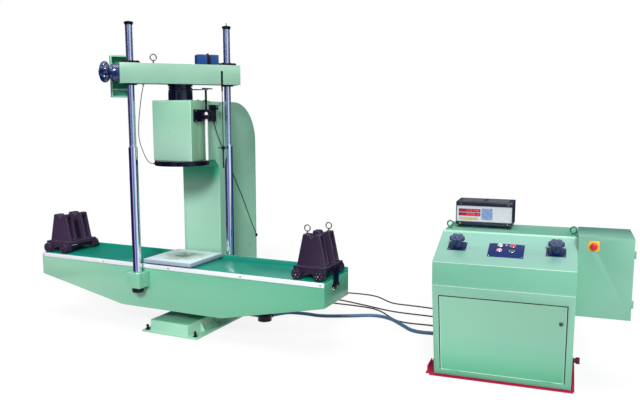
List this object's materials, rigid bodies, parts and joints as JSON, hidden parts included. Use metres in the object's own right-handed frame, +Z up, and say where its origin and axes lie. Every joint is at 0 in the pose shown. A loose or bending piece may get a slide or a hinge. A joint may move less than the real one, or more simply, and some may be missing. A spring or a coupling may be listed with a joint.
{
  "type": "spring testing machine",
  "caption": "Hydraulic spring testing machine: C-frame press with a long bed hung from a diagonal crosshead, rolling spring supports and a separate control console.",
  "frame": {"origin": "on the floor under the load axis, at the base plate's underside", "axes": "+X along the bed towards the console, +Y towards the back of the C-frame, +Z up"},
  "size_m": [4.3555, 1.9128, 2.292],
  "materials": {
    "mint_paint": "semi-gloss enamel",
    "dark_green_paint": "gloss enamel",
    "black_paint": "gloss enamel",
    "black_casting": "painted casting",
    "bright_steel": "ground",
    "chrome": "hard chrome",
    "blue_paint": "gloss enamel",
    "blue_plate": "anodised",
    "red_paint": "enamel",
    "black_plastic": "moulded",
    "white_plastic": "moulded",
    "red_plastic": "moulded",
    "green_plastic": "moulded",
    "black_rubber": "satin",
    "blue_rubber": "satin"
  },
  "bodies": {
    "frame": {"base": "mint_paint", "levelling_bolts": "black_paint", "c_frame": "mint_paint", "head_casing": "mint_paint", "cylinder": "black_paint", "upper_platen": "black_paint", "switch_block": "black_paint", "stroke_tube": "white_plastic", "frame_cable": "black_rubber", "console_cabinet": "mint_paint", "console_eyebolts": "dark_green_paint", "skid_frame": "red_paint", "panel_plates": "blue_plate", "valve_block": "bright_steel", "indicator_case": "black_paint", "indicator_panel": "white_plastic", "oil_tank": "mint_paint", "pump_motor": "blue_paint", "electric_cabinet": "mint_paint", "hose_coupling": "black_paint", "blue_hose": "blue_rubber", "hose_1": "black_rubber", "hose_2": "black_rubber", "hose_3": "black_rubber"},
    "crosshead": {"ram": "black_paint", "crosshead": "mint_paint", "crosshead_eyebolt": "bright_steel", "drive_motor": "blue_paint", "gear_housing": "dark_green_paint", "gauge_rods": "black_paint", "head_cable": "black_rubber"},
    "bed": {"bed": "mint_paint", "bed_deck": "dark_green_paint", "front_scale": "bright_steel", "column_brackets": "mint_paint", "columns": "chrome", "column_ends": "black_paint", "lower_platen": "bright_steel", "end_stops": "black_paint"},
    "front_nut": {"front_nut": "black_paint"},
    "rear_nut": {"rear_nut": "black_paint"},
    "clamp_knob": {"clamp_knob": "black_plastic"},
    "left_trolley": {"trolley_left": "black_casting"},
    "right_trolley": {"trolley_right": "black_casting", "trolley_eyebolts": "bright_steel"},
    "wheels_left_outer": {"wheelset_left_outer": "black_casting"},
    "wheels_left_inner": {"wheelset_left_inner": "black_casting"},
    "wheels_right_inner": {"wheelset_right_inner": "black_casting"},
    "wheels_right_outer": {"wheelset_right_outer": "black_casting"},
    "limit_lever": {"limit_lever": "bright_steel"},
    "console_door": {"console_door": "mint_paint"},
    "door_lock": {"door_lock": "bright_steel"},
    "load_valve": {"load_valve_knob": "black_plastic"},
    "unload_valve": {"unload_valve_knob": "black_plastic"},
    "start_button": {"start_button": "white_plastic"},
    "stop_button": {"stop_button": "red_plastic"},
    "raise_button": {"raise_button": "white_plastic"},
    "lower_button": {"lower_button": "green_plastic"},
    "electric_door": {"electric_door": "mint_paint"},
    "estop": {"estop_button": "red_plastic"}
  },
  "joints": [
    {"name": "ram_lift", "type": "slide", "parent": "frame", "child": "crosshead", "axis": [0, 0, 1], "range_m": [0, 0.2]},
    {"name": "bed_adjust", "type": "slide", "parent": "crosshead", "child": "bed", "axis": [0, 0, 1], "range_m": [-0.06, 0.3]},
    {"name": "front_nut_turn", "type": "hinge", "parent": "crosshead", "child": "front_nut", "pos_m": [-0.242, -0.256, 1.9], "axis": [0, 0, 1], "continuous": true},
    {"name": "rear_nut_turn", "type": "hinge", "parent": "crosshead", "child": "rear_nut", "pos_m": [0.242, 0.256, 1.9], "axis": [0, 0, 1], "continuous": true},
    {"name": "clamp_knob_turn", "type": "hinge", "parent": "crosshead", "child": "clamp_knob", "pos_m": [-0.29696, -0.31414, 1.913], "axis": [-0.687, -0.7267, 0], "range_deg": [0, 360]},
    {"name": "left_trolley_roll", "type": "slide", "parent": "bed", "child": "left_trolley", "axis": [1, 0, 0], "range_m": [0, 0.77]},
    {"name": "right_trolley_roll", "type": "slide", "parent": "bed", "child": "right_trolley", "axis": [1, 0, 0], "range_m": [-0.77, 0.014]},
    {"name": "left_outer_wheels_turn", "type": "hinge", "parent": "left_trolley", "child": "wheels_left_outer", "pos_m": [-1.21, 0, 0.5573], "axis": [0, 1, 0], "continuous": true},
    {"name": "left_inner_wheels_turn", "type": "hinge", "parent": "left_trolley", "child": "wheels_left_inner", "pos_m": [-1.046, 0, 0.5573], "axis": [0, 1, 0], "continuous": true},
    {"name": "right_inner_wheels_turn", "type": "hinge", "parent": "right_trolley", "child": "wheels_right_inner", "pos_m": [1.033, 0, 0.5573], "axis": [0, 1, 0], "continuous": true},
    {"name": "right_outer_wheels_turn", "type": "hinge", "parent": "right_trolley", "child": "wheels_right_outer", "pos_m": [1.197, 0, 0.5573], "axis": [0, 1, 0], "continuous": true},
    {"name": "limit_lever_swing", "type": "hinge", "parent": "frame", "child": "limit_lever", "pos_m": [0.213, 0.15, 1.676], "axis": [1, 0, 0], "range_deg": [-20, 20], "stiffness_Nm_per_rad": 0.5},
    {"name": "console_door_drop", "type": "hinge", "parent": "frame", "child": "console_door", "pos_m": [2.38706, -0.13254, 0.0486], "axis": [0.9969, 0.0785, 0], "range_deg": [0, 75]},
    {"name": "door_lock_turn", "type": "hinge", "parent": "console_door", "child": "door_lock", "pos_m": [2.7245, -0.19504, 0.43657], "axis": [-0.0764, 0.9707, 0.228], "range_deg": [-90, 0]},
    {"name": "load_valve_turn", "type": "hinge", "parent": "frame", "child": "load_valve", "pos_m": [2.09998, -0.11105, 0.82559], "axis": [0.0273, -0.3465, 0.9377], "range_deg": [0, 720]},
    {"name": "unload_valve_turn", "type": "hinge", "parent": "frame", "child": "unload_valve", "pos_m": [2.66723, -0.0664, 0.82559], "axis": [0.0273, -0.3465, 0.9377], "range_deg": [0, 720]},
    {"name": "start_button_press", "type": "slide", "parent": "frame", "child": "start_button", "axis": [-0.0273, 0.3465, -0.9377], "range_m": [0, 0.004], "stiffness_N_per_m": 600, "springref_m": -0.002},
    {"name": "stop_button_press", "type": "slide", "parent": "frame", "child": "stop_button", "axis": [-0.0273, 0.3465, -0.9377], "range_m": [0, 0.004], "stiffness_N_per_m": 600, "springref_m": -0.002},
    {"name": "raise_button_press", "type": "slide", "parent": "frame", "child": "raise_button", "axis": [-0.0273, 0.3465, -0.9377], "range_m": [0, 0.004], "stiffness_N_per_m": 600, "springref_m": -0.002},
    {"name": "lower_button_press", "type": "slide", "parent": "frame", "child": "lower_button", "axis": [-0.0273, 0.3465, -0.9377], "range_m": [0, 0.004], "stiffness_N_per_m": 600, "springref_m": -0.002},
    {"name": "electric_door_swing", "type": "hinge", "parent": "frame", "child": "electric_door", "pos_m": [3.08645, 0.01093, 0.684], "axis": [0, 0, 1], "range_deg": [0, 110]},
    {"name": "estop_press", "type": "slide", "parent": "electric_door", "child": "estop", "axis": [-0.0785, 0.9969, 0], "range_m": [0, 0.006]}
  ],
  "couplings": [
    {"joint": "front_nut_turn", "follows": "bed_adjust", "rad_per_m": 628.32},
    {"joint": "rear_nut_turn", "follows": "bed_adjust", "rad_per_m": 628.32},
    {"joint": "left_outer_wheels_turn", "follows": "left_trolley_roll", "rad_per_m": 27.027},
    {"joint": "left_inner_wheels_turn", "follows": "left_trolley_roll", "rad_per_m": 27.027},
    {"joint": "right_inner_wheels_turn", "follows": "right_trolley_roll", "rad_per_m": 27.027},
    {"joint": "right_outer_wheels_turn", "follows": "right_trolley_roll", "rad_per_m": 27.027}
  ]
}
